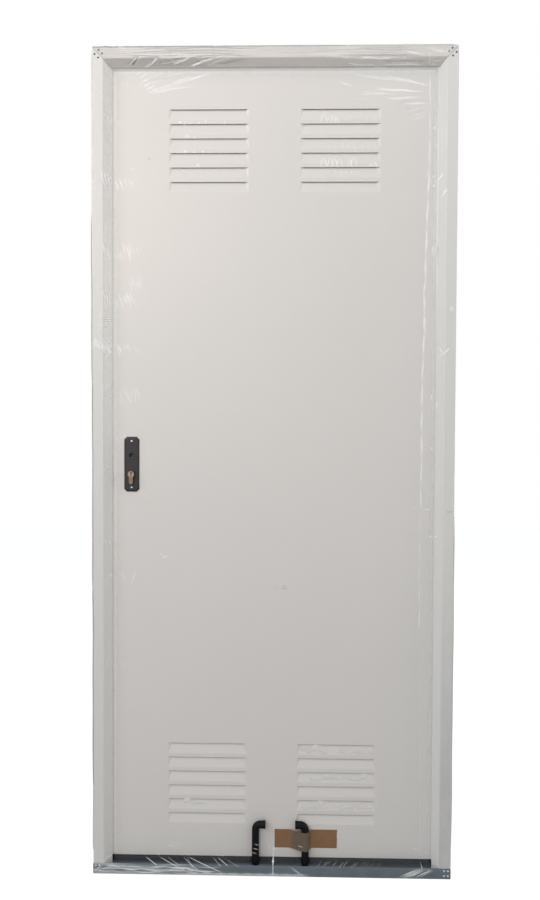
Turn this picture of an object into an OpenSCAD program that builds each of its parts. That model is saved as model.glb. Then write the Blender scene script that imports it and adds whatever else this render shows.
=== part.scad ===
// Steel utility-room door: a three-sided pressed frame with a riveted sill, and a hollow louvred
// leaf on three knuckle hinges. Millimetres, +Z up. The front, or push side, faces -Y and +X is to
// the right. The origin is under the sill, at mid-width and mid-depth of the frame.

/* [Frame] */
// Overall width of the frame
frame_w = 890; // [700:10:1100]
// Overall height, with the sill
frame_h = 2040; // [1900:10:2400]
// Depth of the pressed frame, front to back
frame_d = 64; // [62:1:70]
// Thickness of the frame's sheet
frame_t = 1.5; // [1.2:0.1:2]
// Width of the frame's flat front face
face_w = 26.5; // [24:0.5:32]
// How far the splay narrows the opening
splay_w = 17; // [14:0.5:20]
// How deep the splay runs back
splay_d = 19.5; // [16:0.5:20]
// Width of the lips that lie against the wall
wall_lip = 12; // [8:1:14]
// Width of the joint line at the mitred corners
mitre_gap = 1.2; // [0.4:0.1:1.2]

/* [Sill] */
// Height of the sill's front flange
flange_h = 26; // [20:1:30]
// Height of the sill's rear lip
rear_lip_h = 18; // [4:1:24]

/* [Leaf] */
// Thickness of the leaf
leaf_t = 38; // [36:1:40]
// Thickness of the leaf's two skins
skin_t = 1; // [0.8:0.1:1.2]
// How far the leaf reaches behind the frame's lip
overlap = 12; // [10:0.5:12]
// Running gap between the leaf and the frame
leaf_gap = 5; // [5:0.5:6]
// Height of the leaf's bottom edge above the floor
leaf_z = 34; // [32:1:45]

/* [Louvres] */
// Slits in each bank
louvre_count = 6; // [3:1:8]
// Width of a slit
louvre_w = 197; // [150:1:220]
// Height from one slit to the next
louvre_pitch = 35.5; // [30:0.5:40]
// Distance of each bank's centre from the leaf's centre
louvre_x = 162; // [120:0.5:200]
// Height of the top slit in the lower banks
low_bank_z = 321.5; // [300:0.5:400]
// Height of the top slit in the upper banks
high_bank_z = 1900.5; // [1700:0.5:1910]
// How far a louvre is pressed into the leaf
louvre_in = 4; // [3:0.5:8]
// Height of a louvre's sloping tongue
louvre_h = 26; // [20:1:30]
// How far a louvre's ends slope in from the ends of its slit
louvre_end = 9; // [6:0.5:12]

/* [Lock] */
// Distance of the lock's axis from the leaf's edge
backset = 60.5; // [50:0.5:65]
// Height of the lever hole
lever_z = 1046; // [950:1:1100]
// Distance down from the lever hole to the cylinder
lock_centres = 47; // [44:1:85]
// Width of the lock plates
plate_w = 37.5; // [34:0.5:40]
// Height of the lock plates
plate_h = 137; // [120:1:150]
// Thickness of the lock plates
plate_t = 4; // [3:0.5:6]
// How far the cylinder stands out of a lock plate
cyl_proud = 8; // [3:0.5:10]

/* [Hinges] */
// Height of each hinge's middle
hinge_z = [260, 1020, 1780]; // [200:10:1900]
// Radius of a hinge knuckle
knuckle_r = 7.5; // [6:0.5:8]
// Length of a hinge, over both knuckles
hinge_h = 120; // [90:2:140]

/* [Levers] */
// Diameter of a lever's grip
grip_d = 18; // [16:1:20]
// Diameter at the end of a lever's neck
neck_d = 20; // [18:1:22]
// Distance over a lever's grip and neck
neck_reach = 34; // [32:1:40]
// Length of a lever, from its end to the top of its neck
lever_len = 116; // [100:1:130]

/* [Tape] */
// Width of the tape
tape_w = 47; // [38:1:50]
// Length of the tape along the leaf
tape_len = 157; // [120:1:200]

/* [Hidden] */
$fn = 48;

// Pressed sheet
bend_in = 1;
bend_out = bend_in + frame_t;
bend_steps = 3;

// Frame
half_w = frame_w / 2;
front_y = -frame_d / 2;
rear_y = frame_d / 2;
lip_d = splay_d + frame_t;
splay_slope = splay_w / splay_d;
splay_shift = frame_t / sin(atan2(splay_d, splay_w));
rebate_w = face_w;
mitre_in = 100;
mitre_out = 50;

// Leaf
clear_half_w = half_w - face_w - splay_w;
leaf_half_w = clear_half_w + overlap;
leaf_top_z = frame_h - face_w - splay_w + overlap;
leaf_h = leaf_top_z - leaf_z;
leaf_front_y = front_y + lip_d + leaf_gap;
leaf_rear_y = leaf_front_y + leaf_t;
core_front_y = leaf_front_y + skin_t;
core_rear_y = leaf_rear_y - skin_t;
core_d = core_rear_y - core_front_y;
stile_t = 1.5;
stile_w = 30;
rail_h = 30;

// Lock
lock_x = -leaf_half_w + backset;
cylinder_z = lever_z - lock_centres;
plate_drop = 22;
plate_z = lever_z - plate_drop;
plate_chamfer = 6.5;
plate_bevel = 4.5;
plate_edge = 1.6;
plate_screw_gap = 116;
plate_screw_r = 2.8;
plate_screw_h = 1.2;
lever_bore_r = 8.5;
bar_way_r = 5.8;
bush_floor_r = 6.8;
bush_rim = 0.6;
bush_sink = 0.8;
bush_fit = 0.02;
case_w = 76;
case_h = 165;
case_d = 15;
forend_w = 22;
forend_h = 235;
forend_t = 3;
cyl_r = 8.5;
cyl_leg_w = 10;
cyl_h = 33;
cyl_fit = 0.3;
plug_r = 6.5;
plug_proud = 0.5;
follower_r = 8;
square_bar = 8;
follower_web = 2;
latch_w = 12;
latch_h = 32;
dead_h = 36;
latch_rise = 32;
latch_z = lever_z + latch_rise;
dead_drop = 70;
dead_z = lever_z - dead_drop;
bolt_len = 40;
strike_d = 18;
strike_t = 1;
strike_side = 4;
strike_end = 6;
forend_drop = 150;
case_drop = 105;
plug_len = 24;
keyway_w = 1.6;
keyway_h = 9;
keyway_head = 2.8;
keyway_top = 5;

// Hinges
pin_r = 4;
pin_fit = 0.05;
pivot_x = leaf_half_w + leaf_gap / 2;
pivot_stand = 9.5;
pivot_y = rear_y + pivot_stand;
knuckle_gap = 0.6;
flap_t = 2.5;
flap_w = 26;
flap_start = 3;
pin_end_gap = 3;

// Fastenings
rivet_r = 2.5;
rivet_h = 1;
head_taper = 0.65;
corner_along = [16, 28];
corner_across = 7;
sill_rivet_x = [429, 438.5];
sill_rivet_z = [7, 19.5];
cleat_t = 1.5;
cleat_arm = 40;
cleat_w = 20;
cleat_inset = 3;
fix_r = 4.25;
fix_z = [250, 750, 1250, 1750];
fix_y = 5;

// Levers
grip_r = grip_d / 2;
neck_r = neck_d / 2;
lever_z0 = 15;
lever_x = [-39.5, 85];
lever_y = leaf_front_y - neck_r;
bend_r = 12;
socket_d = 12;

// Tape
tape_x = 8.5;
tape_z = 58;
tape_t = 0.6;
tape_fit = 0.1;
tape_lift = [40, 16];
tape_steps = 12;

function unit(v) = v / norm(v);

// The points of a bend of radius r at p1, on an outline that comes from p0 and goes on to p2.
function bend(p0, p1, p2, r) =
    let (a = unit(p0 - p1), b = unit(p2 - p1), half = acos(a * b) / 2,
        centre = p1 + unit(a + b) * r / sin(half),
        arm0 = p1 + a * r / tan(half) - centre,
        arm1 = p1 + b * r / tan(half) - centre,
        start = atan2(arm0[1], arm0[0]),
        turn = atan2(arm0[0] * arm1[1] - arm0[1] * arm1[0], arm0 * arm1))
    [for (i = [0 : bend_steps]) centre + r * [cos(start + turn * i / bend_steps),
        sin(start + turn * i / bend_steps)]];

// A closed outline from corners given as [x, y, bend radius].
function bent_outline(corners) =
    let (n = len(corners), xy = [for (c = corners) [c[0], c[1]]])
    [for (i = [0 : n - 1]) each corners[i][2] == 0 ? [xy[i]]
        : bend(xy[(i + n - 1) % n], xy[i], xy[(i + 1) % n], corners[i][2])];

// A point on the left mitre's line in the front view, so far in from the outer corner and raised.
function mitre_point(run, rise) = [run - half_w, frame_h - run + rise];

// One cross-section of the pressed frame: u runs in from the wall side, v runs back from the front.
module frame_section() {
    tip_u = face_w + splay_w;
    inner_v = lip_d - frame_t;
    rear_v = frame_d - frame_t;
    inner_rebate = rebate_w - frame_t;
    difference() {
        polygon(bent_outline([[0, 0, bend_out], [face_w, 0, bend_out], [tip_u, splay_d, 0],
            [tip_u, lip_d, 0], [rebate_w, lip_d, bend_in], [rebate_w, frame_d, bend_out],
            [0, frame_d, bend_out]]));
        polygon(bent_outline([[-1, wall_lip, 0], [frame_t, wall_lip, 0], [frame_t, frame_t, bend_in],
            [face_w + frame_t * splay_slope - splay_shift, frame_t, bend_in],
            [face_w + inner_v * splay_slope - splay_shift, inner_v, 0],
            [inner_rebate, inner_v, bend_out], [inner_rebate, rear_v, bend_in],
            [frame_t, rear_v, bend_in], [frame_t, frame_d - wall_lip, 0],
            [-1, frame_d - wall_lip, 0]]));
    }
}

// The left jamb, standing on the sill and cut to a mitre at the top.
module left_jamb_solid() {
    difference() {
        translate([-half_w, front_y, frame_t])
            linear_extrude(frame_h - frame_t)
                frame_section();
        mitre_cut(mitre_gap / 2);
    }
}

// Everything above the left mitre's plane, less a set-back.
module mitre_cut(set_back) {
    shift = set_back * sqrt(2);
    translate([0, front_y - 1, 0])
        rotate([90, 0, 0])
            mirror([0, 0, 1])
                linear_extrude(frame_d + 2)
                    polygon([mitre_point(-mitre_out, -shift), mitre_point(mitre_in, -shift),
                        [mitre_in - half_w, frame_h + mitre_out],
                        [-half_w - mitre_out, frame_h + mitre_out]]);
}

module strike_openings() {
    for (opening = [[latch_z, latch_h], [dead_z, dead_h]])
        translate([-half_w + rebate_w - frame_t - 1, core_front_y + core_d / 2 - latch_w / 2 - 1,
            opening[0] - opening[1] / 2 - 1])
            cube([frame_t + 2, latch_w + 2, opening[1] + 2]);
}

module wall_fixings(side) {
    for (z = fix_z)
        translate([side * (half_w - rebate_w - 1), fix_y, z])
            rotate([0, side * 90, 0])
                cylinder(r = fix_r, h = frame_t + 2);
}

module jamb_left() {
    color("whitesmoke")
        difference() {
            left_jamb_solid();
            strike_openings();
            wall_fixings(-1);
        }
}

module jamb_right() {
    color("whitesmoke")
        difference() {
            mirror([1, 0, 0])
                left_jamb_solid();
            wall_fixings(1);
        }
}

module header() {
    color("whitesmoke")
        difference() {
            translate([-half_w, front_y, frame_h])
                rotate([0, 90, 0])
                    linear_extrude(frame_w)
                        frame_section();
            for (side = [0, 1])
                mirror([side, 0, 0])
                    header_end_cut(mitre_gap / 2);
        }
}

// Everything below the left mitre's plane, less a set-back.
module header_end_cut(set_back) {
    shift = set_back * sqrt(2);
    translate([0, front_y - 1, 0])
        rotate([90, 0, 0])
            mirror([0, 0, 1])
                linear_extrude(frame_d + 2)
                    polygon([mitre_point(-mitre_out, shift), mitre_point(mitre_in, shift),
                        [-half_w - mitre_out, frame_h - mitre_in + shift]]);
}

module sill_channel() {
    web_d = frame_d + 2 * frame_t;
    color("slategray")
        translate([-half_w, front_y - frame_t, 0]) {
            cube([frame_w, web_d, frame_t]);
            cube([frame_w, frame_t, flange_h]);
            translate([0, web_d - frame_t, 0])
                cube([frame_w, frame_t, rear_lip_h]);
        }
}

// An L-shaped strap behind the front faces, across one mitre.
module left_cleat() {
    translate([-half_w + cleat_inset, front_y + frame_t, frame_h - cleat_inset]) {
        translate([0, 0, -cleat_arm])
            cube([cleat_w, cleat_t, cleat_arm]);
        translate([0, 0, -cleat_w])
            cube([cleat_arm, cleat_t, cleat_w]);
    }
}

module corner_cleat_left() {
    color("silver")
        left_cleat();
}

module corner_cleat_right() {
    color("silver")
        mirror([1, 0, 0])
            left_cleat();
}

// A low round rivet head whose base lies in the plane y = 0.
module rivet_head() {
    rotate([90, 0, 0])
        cylinder(r1 = rivet_r, r2 = rivet_r * head_taper, h = rivet_h);
}

module corner_rivets() {
    color("gray")
        for (side = [-1, 1], along = corner_along, across = [-corner_across, corner_across])
            translate([side * (half_w - (along - across) / sqrt(2)), front_y,
                frame_h - (along + across) / sqrt(2)])
                rivet_head();
}

module sill_rivets() {
    color("lightgray")
        for (side = [-1, 1], x = sill_rivet_x, z = sill_rivet_z)
            translate([side * x, front_y - frame_t, z])
                rivet_head();
}

// The box behind the left jamb that the bolts enter.
module strike_box() {
    box_d = latch_w + 2 * strike_side;
    z0 = dead_z - dead_h / 2 - strike_end;
    z1 = latch_z + latch_h / 2 + strike_end;
    y0 = core_front_y + core_d / 2 - box_d / 2;
    x1 = -half_w + rebate_w - frame_t;
    color("silver")
        translate([x1 - strike_d, y0, z0])
            difference() {
                cube([strike_d, box_d, z1 - z0]);
                translate([strike_t, strike_t, strike_t])
                    cube([strike_d, box_d - 2 * strike_t, z1 - z0 - 2 * strike_t]);
            }
}

// The space behind a louvre's slit, between its sloping tongue and its two sloping ends. It starts
// at depth y0, and its slopes are set back from the skin's outer face. The origin is at the left of
// the slit, on the outer face.
module louvre_space(set_back, y0) {
    rise = louvre_in / louvre_h;
    run = louvre_end / louvre_in;
    early = y0 - set_back;
    deep = louvre_in + set_back;
    intersection() {
        translate([-louvre_w, 0, 0])
            rotate([90, 0, 90])
                linear_extrude(3 * louvre_w)
                    polygon([[y0, early / rise - louvre_h], [deep, 0], [y0, 0]]);
        translate([0, 0, -2 * louvre_pitch])
            linear_extrude(3 * louvre_pitch)
                polygon([[early * run, y0], [louvre_w - early * run, y0], [louvre_w - louvre_end, deep],
                    [louvre_end, deep]]);
    }
}

// Puts its children at every slit.
module at_slits() {
    for (side = [-1, 1], top = [low_bank_z, high_bank_z], i = [0 : louvre_count - 1])
        translate([side * louvre_x - louvre_w / 2, 0, top - i * louvre_pitch])
            children();
}

// A louvred skin whose outer face lies in the plane y = 0, with the leaf behind it.
module louvred_skin() {
    difference() {
        union() {
            translate([-leaf_half_w, 0, leaf_z])
                cube([2 * leaf_half_w, skin_t, leaf_h]);
            at_slits()
                louvre_space(skin_t, skin_t / 2);
        }
        at_slits()
            louvre_space(0, -1);
        translate([lock_x, -1, lever_z])
            rotate([-90, 0, 0])
                cylinder(r = lever_bore_r, h = skin_t + 2);
        translate([lock_x, -1, cylinder_z])
            euro_profile(skin_t + 2, 2 * cyl_fit);
    }
}

// The round-over-leg profile of a lock cylinder, running back along +Y, grown by a clearance.
module euro_profile(depth, grow) {
    rotate([-90, 0, 0]) {
        cylinder(r = cyl_r + grow, h = depth);
        translate([0, cyl_h - cyl_r - cyl_leg_w / 2, 0])
            cylinder(r = cyl_leg_w / 2 + grow, h = depth);
        translate([-cyl_leg_w / 2 - grow, 0, 0])
            cube([cyl_leg_w + 2 * grow, cyl_h - cyl_r - cyl_leg_w / 2, depth]);
    }
}

module leaf_front_skin() {
    color("whitesmoke")
        translate([0, leaf_front_y, 0])
            louvred_skin();
}

module leaf_back_skin() {
    color("whitesmoke")
        translate([0, leaf_rear_y, 0])
            mirror([0, 1, 0])
                louvred_skin();
}

// A channel along the leaf's left edge, open towards the leaf's middle.
module left_stile() {
    translate([-leaf_half_w, core_front_y, leaf_z])
        difference() {
            cube([stile_w, core_d, leaf_h]);
            translate([stile_t, stile_t, -1])
                cube([stile_w, core_d - 2 * stile_t, leaf_h + 2]);
        }
}

module lock_stile() {
    color("whitesmoke")
        difference() {
            left_stile();
            translate([-leaf_half_w - 1, core_front_y + (core_d - forend_w) / 2, lever_z - forend_drop])
                cube([stile_t + 2, forend_w, forend_h]);
        }
}

module hinge_stile() {
    color("whitesmoke")
        mirror([1, 0, 0])
            left_stile();
}

// A channel between the stiles, open towards the leaf's middle, with its web at height z.
module rail(z, opens_up) {
    web_z = opens_up ? z : z - stile_t;
    low_z = opens_up ? z : z - rail_h;
    inner_w = 2 * (leaf_half_w - stile_w);
    translate([-inner_w / 2, core_front_y, 0]) {
        translate([0, 0, web_z])
            cube([inner_w, core_d, stile_t]);
        for (y = [0, core_d - stile_t])
            translate([0, y, low_z])
                cube([inner_w, stile_t, rail_h]);
    }
}

module top_rail() {
    color("whitesmoke")
        rail(leaf_top_z, false);
}

module bottom_rail() {
    color("whitesmoke")
        rail(leaf_z, true);
}

// The mortice lock's case, with the ways through it for the spindle and the cylinder.
module lock_case() {
    case_x = -leaf_half_w + forend_t;
    case_y = core_front_y + (core_d - case_d) / 2;
    color("silver")
        difference() {
            translate([case_x, case_y, lever_z - case_drop])
                cube([case_w, case_d, case_h]);
            translate([lock_x, case_y - 1, lever_z])
                rotate([-90, 0, 0])
                    cylinder(r = follower_r, h = case_d + 2);
            translate([lock_x, case_y - 1, cylinder_z])
                euro_profile(case_d + 2, cyl_fit);
            bolt_way(latch_z, latch_h);
            bolt_way(dead_z, dead_h);
        }
}

// The space that a bolt fills in the case and the forend.
module bolt_way(z, h) {
    translate([-leaf_half_w - 1, core_front_y + (core_d - latch_w) / 2, z - h / 2])
        cube([bolt_len + 1, latch_w, h]);
}

module lock_forend() {
    color("silver")
        difference() {
            translate([-leaf_half_w, core_front_y + (core_d - forend_w) / 2, lever_z - forend_drop])
                cube([forend_t, forend_w, forend_h]);
            bolt_way(latch_z, latch_h);
            bolt_way(dead_z, dead_h);
        }
}

// A bolt drawn back into the case, its end flush with the forend.
module drawn_bolt(z, h) {
    translate([-leaf_half_w, core_front_y + (core_d - latch_w) / 2, z - h / 2])
        cube([bolt_len, latch_w, h]);
}

module latch_bolt() {
    color("lightgray")
        drawn_bolt(latch_z, latch_h);
}

module dead_bolt() {
    color("lightgray")
        drawn_bolt(dead_z, dead_h);
}

// The divided part that a lever's square bar turns from either side.
module spindle_follower() {
    seat = (case_d - follower_web) / 2;
    color("dimgray")
        translate([lock_x, core_front_y + (core_d - case_d) / 2, lever_z])
            rotate([-90, 0, 0])
                difference() {
                    cylinder(r = follower_r, h = case_d);
                    for (y = [-1, case_d - seat])
                        translate([-square_bar / 2, -square_bar / 2, y])
                            cube([square_bar, square_bar, seat + 1]);
                }
}

// A bar along Z with the profile of a plate of the given width whose two edges are bevelled.
module bevelled_bar(w, length) {
    linear_extrude(length, center = true)
        polygon([[-w / 2, 0], [-w / 2, -plate_edge], [-w / 2 + plate_bevel, -plate_t],
            [w / 2 - plate_bevel, -plate_t], [w / 2, -plate_edge], [w / 2, 0]]);
}

// A lock plate with cut corners and bevelled edges, its base in the plane y = 0 and its face
// towards -Y.
module lock_plate() {
    corner_w = (plate_w + plate_h - 2 * plate_chamfer) / sqrt(2);
    difference() {
        translate([lock_x, 0, plate_z])
            intersection() {
                bevelled_bar(plate_w, plate_h);
                rotate([0, 90, 0])
                    bevelled_bar(plate_h, plate_w);
                rotate([0, 45, 0])
                    bevelled_bar(corner_w, 2 * plate_h);
                rotate([0, -45, 0])
                    bevelled_bar(corner_w, 2 * plate_h);
            }
        translate([lock_x, -plate_t - 1, lever_z])
            rotate([-90, 0, 0])
                cylinder(r = lever_bore_r, h = plate_t + 2);
        translate([lock_x, -plate_t - 1, cylinder_z])
            euro_profile(plate_t + 2, 2 * cyl_fit);
    }
}

module lock_plate_front() {
    color("black")
        translate([0, leaf_front_y, 0])
            lock_plate();
}

module lock_plate_back() {
    color("black")
        translate([0, leaf_rear_y, 0])
            mirror([0, 1, 0])
                lock_plate();
}

// The ring in a plate's lever hole: a raised rim round a sunk floor, with the bar's way through it.
// Its axis is Y, the plate's base is in the plane y = 0 and its face is towards -Y.
module spindle_bush() {
    translate([lock_x, 0, lever_z])
        rotate([90, 0, 0])
            rotate_extrude()
                polygon([[bar_way_r, 0], [lever_bore_r - bush_fit, 0],
                    [lever_bore_r - bush_fit, plate_t + bush_rim], [bush_floor_r, plate_t + bush_rim],
                    [bush_floor_r, plate_t - bush_sink], [bar_way_r, plate_t - bush_sink]]);
}

module spindle_bush_front() {
    color("black")
        translate([0, leaf_front_y, 0])
            spindle_bush();
}

module spindle_bush_back() {
    color("black")
        translate([0, leaf_rear_y, 0])
            mirror([0, 1, 0])
                spindle_bush();
}

// The raised heads of one plate's two screws.
module plate_screws() {
    for (end = [-1, 1])
        translate([lock_x, -plate_t, plate_z + end * plate_screw_gap / 2])
            rotate([90, 0, 0])
                cylinder(r1 = plate_screw_r, r2 = plate_screw_r * head_taper, h = plate_screw_h);
}

module plate_screws_front() {
    color("silver")
        translate([0, leaf_front_y, 0])
            plate_screws();
}

module plate_screws_back() {
    color("silver")
        translate([0, leaf_rear_y, 0])
            mirror([0, 1, 0])
                plate_screws();
}

// The cylinder's body, through the leaf and both plates.
module cylinder_body() {
    y0 = leaf_front_y - plate_t - cyl_proud;
    y1 = leaf_rear_y + plate_t + cyl_proud;
    color("goldenrod")
        difference() {
            translate([lock_x, y0, cylinder_z])
                euro_profile(y1 - y0, 0);
            translate([lock_x, y0 - 1, cylinder_z])
                rotate([-90, 0, 0])
                    cylinder(r = plug_r, h = plug_len + 1);
            translate([lock_x, y1 - plug_len, cylinder_z])
                rotate([-90, 0, 0])
                    cylinder(r = plug_r, h = plug_len + 1);
        }
}

// One half's plug with its keyway, running in along +Y from a face that stands proud of y = 0.
module cylinder_plug() {
    difference() {
        translate([0, -plug_proud, 0])
            rotate([-90, 0, 0])
                cylinder(r = plug_r, h = plug_len + plug_proud);
        translate([-keyway_w / 2, -plug_proud - 1, keyway_top - keyway_h])
            cube([keyway_w, plug_len, keyway_h]);
        translate([-keyway_head / 2, -plug_proud - 1, keyway_top - keyway_head])
            cube([keyway_head, plug_len, keyway_head]);
    }
}

module cylinder_plug_front() {
    color("rosybrown")
        translate([lock_x, leaf_front_y - plate_t - cyl_proud, cylinder_z])
            cylinder_plug();
}

module cylinder_plug_back() {
    color("rosybrown")
        translate([lock_x, leaf_rear_y + plate_t + cyl_proud, cylinder_z])
            mirror([0, 1, 0])
                cylinder_plug();
}

// A hinge's frame half: the lower knuckle with its pin, and the flap welded to the jamb.
module hinge_frame_half(z) {
    knuckle_h = (hinge_h - knuckle_gap) / 2;
    z0 = z - hinge_h / 2;
    color("gainsboro")
        translate([pivot_x, pivot_y, z0]) {
            cylinder(r = knuckle_r, h = knuckle_h);
            cylinder(r = pin_r, h = hinge_h - pin_end_gap);
            translate([0, rear_y - pivot_y, 0])
                cube([knuckle_r, pivot_y - rear_y, knuckle_h]);
            translate([flap_start, rear_y - pivot_y, 0])
                cube([flap_w - flap_start, flap_t, knuckle_h]);
        }
}

// A hinge's leaf half: the upper knuckle with its bore, and the flap welded to the leaf.
module hinge_leaf_half(z) {
    knuckle_h = (hinge_h - knuckle_gap) / 2;
    z0 = z + hinge_h / 2 - knuckle_h;
    color("gainsboro")
        translate([pivot_x, pivot_y, z0])
            difference() {
                union() {
                    cylinder(r = knuckle_r, h = knuckle_h);
                    translate([-knuckle_r, leaf_rear_y - pivot_y, 0])
                        cube([knuckle_r, pivot_y - leaf_rear_y, knuckle_h]);
                    translate([-flap_w, leaf_rear_y - pivot_y, 0])
                        cube([flap_w - flap_start, flap_t, knuckle_h]);
                }
                translate([0, 0, -1])
                    cylinder(r = pin_r + pin_fit, h = knuckle_h + 2);
            }
}

module hinge_frame_lower() {
    hinge_frame_half(hinge_z[0]);
}

module hinge_frame_middle() {
    hinge_frame_half(hinge_z[1]);
}

module hinge_frame_upper() {
    hinge_frame_half(hinge_z[2]);
}

module hinge_leaf_lower() {
    hinge_leaf_half(hinge_z[0]);
}

module hinge_leaf_middle() {
    hinge_leaf_half(hinge_z[1]);
}

module hinge_leaf_upper() {
    hinge_leaf_half(hinge_z[2]);
}

// A loose lever: a round grip with a domed end, a bend and a neck that points to +X, whose socket
// takes the square bar. The origin is on the grip's axis at floor level.
module lever() {
    neck_z = lever_z0 + lever_len - neck_r;
    neck_end = neck_reach - grip_r;
    difference() {
        union() {
            translate([0, 0, lever_z0 + grip_r])
                sphere(r = grip_r);
            translate([0, 0, lever_z0 + grip_r])
                cylinder(r = grip_r, h = neck_z - bend_r - lever_z0 - grip_r);
            translate([bend_r, 0, neck_z - bend_r])
                rotate([90, 0, 0])
                    rotate([0, 0, 90])
                        rotate_extrude(angle = 90)
                            translate([bend_r, 0])
                                circle(r = grip_r);
            translate([bend_r, 0, neck_z])
                rotate([0, 90, 0])
                    cylinder(r1 = grip_r, r2 = neck_r, h = neck_end - bend_r);
        }
        translate([neck_end - socket_d, -square_bar / 2, neck_z - square_bar / 2])
            cube([socket_d + 1, square_bar, square_bar]);
    }
}

module lever_handle_left() {
    color("black")
        translate([lever_x[0], lever_y, 0])
            lever();
}

module lever_handle_right() {
    color("black")
        translate([lever_x[1], lever_y, 0])
            mirror([1, 0, 0])
                lever();
}

// The tape's arc over a grip, standing off the leaf: points at radius r, from angle a0 to a1.
function tape_arc(r, a0, a1) =
    [for (i = [0 : tape_steps]) let (a = a0 + (a1 - a0) * i / tape_steps) [r * sin(a), neck_r + r * cos(a)]];

// The strip of tape, flat on the leaf at both ends and lifted over the right lever's grip.
module tape_strip() {
    inner_r = grip_r + tape_fit;
    lift_a = [for (lift = tape_lift) atan2(neck_r, lift) + asin(inner_r / norm([neck_r, lift]))];
    outer_lift = [for (i = [0, 1]) tape_lift[i] + tape_t * tan(lift_a[i] / 2)];
    left = tape_x - lever_x[1];
    right = left + tape_len;
    color("peru")
        translate([lever_x[1], leaf_front_y, tape_z])
            mirror([0, 1, 0])
                linear_extrude(tape_w)
                    polygon(concat(
                        [[left, 0], [-tape_lift[0], 0]], tape_arc(inner_r, -lift_a[0], lift_a[1]),
                        [[tape_lift[1], 0], [right, 0], [right, tape_t], [outer_lift[1], tape_t]],
                        tape_arc(inner_r + tape_t, lift_a[1], -lift_a[0]),
                        [[-outer_lift[0], tape_t], [left, tape_t]]));
}

sill_channel();
jamb_left();
jamb_right();
header();
corner_cleat_left();
corner_cleat_right();
corner_rivets();
sill_rivets();
strike_box();
hinge_frame_lower();
hinge_frame_middle();
hinge_frame_upper();
leaf_front_skin();
leaf_back_skin();
lock_stile();
hinge_stile();
top_rail();
bottom_rail();
lock_case();
lock_forend();
latch_bolt();
dead_bolt();
spindle_follower();
lock_plate_front();
lock_plate_back();
spindle_bush_front();
spindle_bush_back();
plate_screws_front();
plate_screws_back();
cylinder_body();
cylinder_plug_front();
cylinder_plug_back();
hinge_leaf_lower();
hinge_leaf_middle();
hinge_leaf_upper();
lever_handle_left();
lever_handle_right();
tape_strip();
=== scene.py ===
import math
import random

import bpy
from mathutils import Matrix, Vector


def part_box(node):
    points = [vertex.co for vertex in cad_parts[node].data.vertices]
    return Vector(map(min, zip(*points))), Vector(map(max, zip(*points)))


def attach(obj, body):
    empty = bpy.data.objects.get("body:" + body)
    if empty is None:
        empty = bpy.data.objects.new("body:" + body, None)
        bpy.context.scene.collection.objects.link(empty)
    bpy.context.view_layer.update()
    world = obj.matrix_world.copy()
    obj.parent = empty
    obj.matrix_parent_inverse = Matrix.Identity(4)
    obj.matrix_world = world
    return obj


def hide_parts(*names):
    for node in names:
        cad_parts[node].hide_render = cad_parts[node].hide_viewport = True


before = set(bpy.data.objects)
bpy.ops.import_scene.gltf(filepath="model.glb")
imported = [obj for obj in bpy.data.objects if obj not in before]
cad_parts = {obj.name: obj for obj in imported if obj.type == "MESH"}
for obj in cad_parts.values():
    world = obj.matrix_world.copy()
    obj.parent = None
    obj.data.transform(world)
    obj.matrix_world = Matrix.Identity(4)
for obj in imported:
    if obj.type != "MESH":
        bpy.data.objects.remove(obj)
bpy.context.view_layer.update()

MM = 0.001

# Camera

CAMERA_PLACE = (0.030, -1.848, 1.108)
CAMERA_YAW = -1.17
CAMERA_PITCH = -1.46
CAMERA_ROLL = 0.26
LENS_MM = 29.6
SENSOR_MM = 36.0


def add_camera():
    camera_data = bpy.data.cameras.new("camera")
    camera_data.sensor_fit = "VERTICAL"
    camera_data.sensor_height = SENSOR_MM
    camera_data.lens = LENS_MM
    camera = bpy.data.objects.new("camera", camera_data)
    bpy.context.scene.collection.objects.link(camera)
    turn = Matrix.Rotation(math.radians(-CAMERA_YAW), 4, "Z")
    tilt = Matrix.Rotation(math.radians(90 + CAMERA_PITCH), 4, "X")
    roll = Matrix.Rotation(math.radians(CAMERA_ROLL), 4, "Z")
    camera.matrix_world = Matrix.Translation(CAMERA_PLACE) @ turn @ tilt @ roll
    bpy.context.scene.camera = camera


# Light and stage

# name, place, aim, size, power, colour
LAMPS = (
    ("left", (-2.3, -1.6, 2.6), (-0.2, 0.0, 1.5), (1.2, 1.2), 32, (0.84, 0.92, 0.96)),
    ("right", (2.3, -1.6, 2.6), (0.2, 0.0, 1.9), (1.2, 1.2), 12, (0.78, 0.94, 1.0)),
    ("over", (0.0, -1.0, 3.2), (0.0, 0.0, 1.2), (1.6, 0.8), 5, (1.0, 0.9, 0.84)),
    ("window", (-0.9, -2.6, 2.4), (0.0, 0.0, 1.2), (0.6, 0.7), 14, (1.0, 0.76, 0.56)),
    ("front", (-0.9, -3.3, 1.3), (0.0, 0.0, 1.2), (1.6, 1.6), 8.5, (0.94, 0.94, 1.0)),
    ("graze", (3.2, -0.7, 1.7), (0.0, 0.0, 1.2), (1.0, 1.4), 14, (1.0, 0.85, 0.68)),
    ("behind", (-0.8, 2.8, 2.4), (0.0, 0.0, 1.0), (1.6, 1.6), 26, (1.0, 0.97, 0.94)),
)
ROOM_COLOUR = (0.86, 0.94, 1.0, 1)
ROOM_LIGHT = 0.44
WHITE = (1, 1, 1, 1)
FLOOR_SIZE = 14
FLOOR_Z = -0.0005
FLOOR_COLOUR = (0.40, 0.395, 0.385, 1)
FLOOR_GLOW = 0.78


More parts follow.
